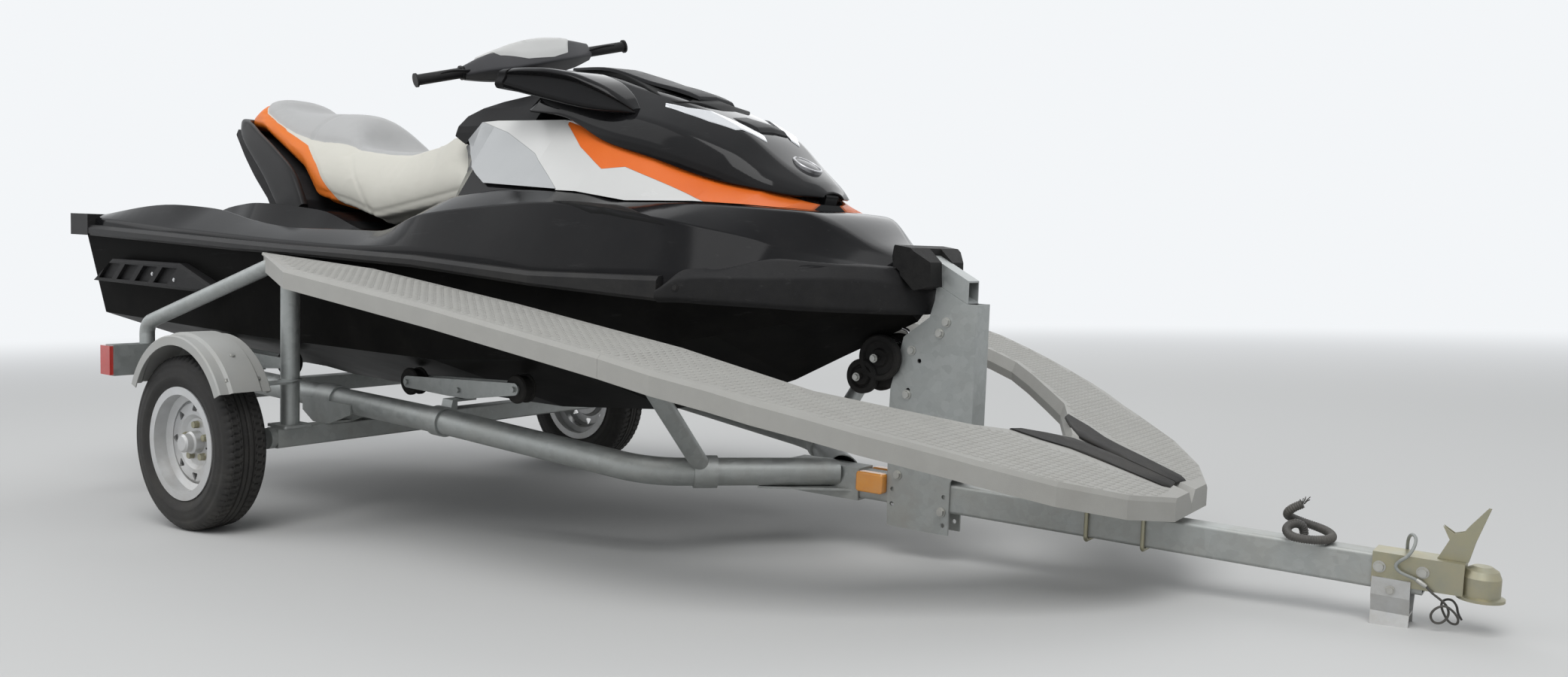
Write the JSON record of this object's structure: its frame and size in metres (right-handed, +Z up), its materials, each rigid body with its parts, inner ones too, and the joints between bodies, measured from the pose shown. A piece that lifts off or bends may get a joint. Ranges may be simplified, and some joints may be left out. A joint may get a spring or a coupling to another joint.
{
  "type": "personal watercraft on road trailer",
  "caption": "Sit-on personal watercraft with turned handlebar, parked on its galvanised road trailer with walkways, keel rollers, bow post and ball coupler.",
  "frame": {"origin": "on the ground under the middle of the whole assembly", "axes": "+X forward to the coupler, +Y to port, +Z up"},
  "size_m": [4.6646, 1.84, 1.5767],
  "materials": {
    "tyre_rubber": "worn rubber",
    "wheel_silver": "silver paint",
    "galvanised": "hot-dip zinc",
    "yellow_zinc": "yellow zinc",
    "fender_grey": "satin",
    "walkway_grey": "moulded",
    "black_rubber": "matte",
    "cable_grey": "grey sleeve",
    "cord_black": "black",
    "lamp_red": "clear red",
    "lamp_amber": "clear amber",
    "hull_black": "gloss",
    "trim_black": "grained",
    "cover_grey": "grained",
    "panel_silver": "metallic",
    "panel_white": "gloss",
    "panel_orange": "gloss",
    "seat_vinyl": "stitched vinyl",
    "bar_metal": "black",
    "cast_aluminium": "cast",
    "stainless": "polished"
  },
  "bodies": {
    "trailer_and_craft": {"axle_beam": "galvanised", "torsion_arms": "galvanised", "main_tubes": "galvanised", "saddle_brackets": "galvanised", "drawbar": "galvanised", "drawbar_sleeve": "galvanised", "light_beam": "galvanised", "guide_posts": "galvanised", "rear_guides": "galvanised", "walkway_struts": "galvanised", "walkway_clamps": "galvanised", "mudguard_stays": "galvanised", "bogie_frames": "galvanised", "bogie_brackets": "galvanised", "bow_post": "galvanised", "bow_arm": "galvanised", "foot_bracket": "galvanised", "coupler": "yellow_zinc", "coupler_lever": "yellow_zinc", "mudguards": "fender_grey", "walkway_rear": "walkway_grey", "walkway_front_left": "walkway_grey", "walkway_front_right": "walkway_grey", "bogie_rollers": "black_rubber", "keel_discs": "black_rubber", "bow_stop": "black_rubber", "bumper_rail": "black_rubber", "safety_cable": "cable_grey", "wiring_loom": "cord_black", "hanging_wires": "cord_black", "tail_lamps": "lamp_red", "side_lamps": "lamp_amber", "hull": "hull_black", "deck": "hull_black", "front_body": "hull_black", "bow_fascia": "trim_black", "sponsons": "trim_black", "steering_cowl": "trim_black", "grab_handle": "trim_black", "side_panel_silver": "panel_silver", "side_panel_white": "panel_white", "side_panel_orange": "panel_orange", "seat": "seat_vinyl", "engine": "cast_aluminium", "jet_pump": "cast_aluminium", "ride_plate": "cast_aluminium", "intake_grate": "cast_aluminium", "towing_eyes": "stainless"},
    "wheel_left": {"tyre_left": "tyre_rubber", "wheel_left": "wheel_silver"},
    "wheel_right": {"tyre_right": "tyre_rubber", "wheel_right": "wheel_silver"},
    "steering": {"handlebar": "bar_metal", "grips": "black_rubber", "handlebar_cover": "cover_grey"},
    "storage_lid": {"storage_lid": "hull_black", "mirror_housings": "trim_black"},
    "jet_nozzle": {"jet_nozzle": "cast_aluminium"},
    "reverse_bucket": {"reverse_bucket": "cast_aluminium"},
    "impeller": {"impeller": "stainless"}
  },
  "joints": [
    {"name": "wheel_left_turn", "type": "hinge", "parent": "trailer_and_craft", "child": "wheel_left", "pos_m": [-1.07656, 0.827, 0.265], "axis": [0, 1, 0], "continuous": true},
    {"name": "wheel_right_turn", "type": "hinge", "parent": "trailer_and_craft", "child": "wheel_right", "pos_m": [-1.07656, -0.827, 0.265], "axis": [0, 1, 0], "continuous": true},
    {"name": "steering_turn", "type": "hinge", "parent": "trailer_and_craft", "child": "steering", "pos_m": [-0.51787, 0, 1.46454], "axis": [-0.5962, 0, 0.8028], "range_deg": [-1.2, 48.8]},
    {"name": "storage_lid_open", "type": "hinge", "parent": "trailer_and_craft", "child": "storage_lid", "pos_m": [0.68024, 0, 0.97203], "axis": [0, 1, 0], "range_deg": [0, 55]},
    {"name": "jet_nozzle_turn", "type": "hinge", "parent": "trailer_and_craft", "child": "jet_nozzle", "pos_m": [-2.13663, 0, 0.56977], "axis": [-0.0541, 0, -0.9985], "range_deg": [-0.96, 39.04]},
    {"name": "reverse_bucket_drop", "type": "hinge", "parent": "jet_nozzle", "child": "reverse_bucket", "pos_m": [-2.17156, -0.01207, 0.57166], "axis": [-0.3258, 0.9453, 0.0176], "range_deg": [-82, 0]},
    {"name": "impeller_turn", "type": "hinge", "parent": "trailer_and_craft", "child": "impeller", "pos_m": [-1.90697, 0, 0.55734], "axis": [0.9985, 0, -0.0541], "continuous": true}
  ],
  "couplings": [
    {"joint": "jet_nozzle_turn", "follows": "steering_turn", "ratio": 0.8}
  ]
}
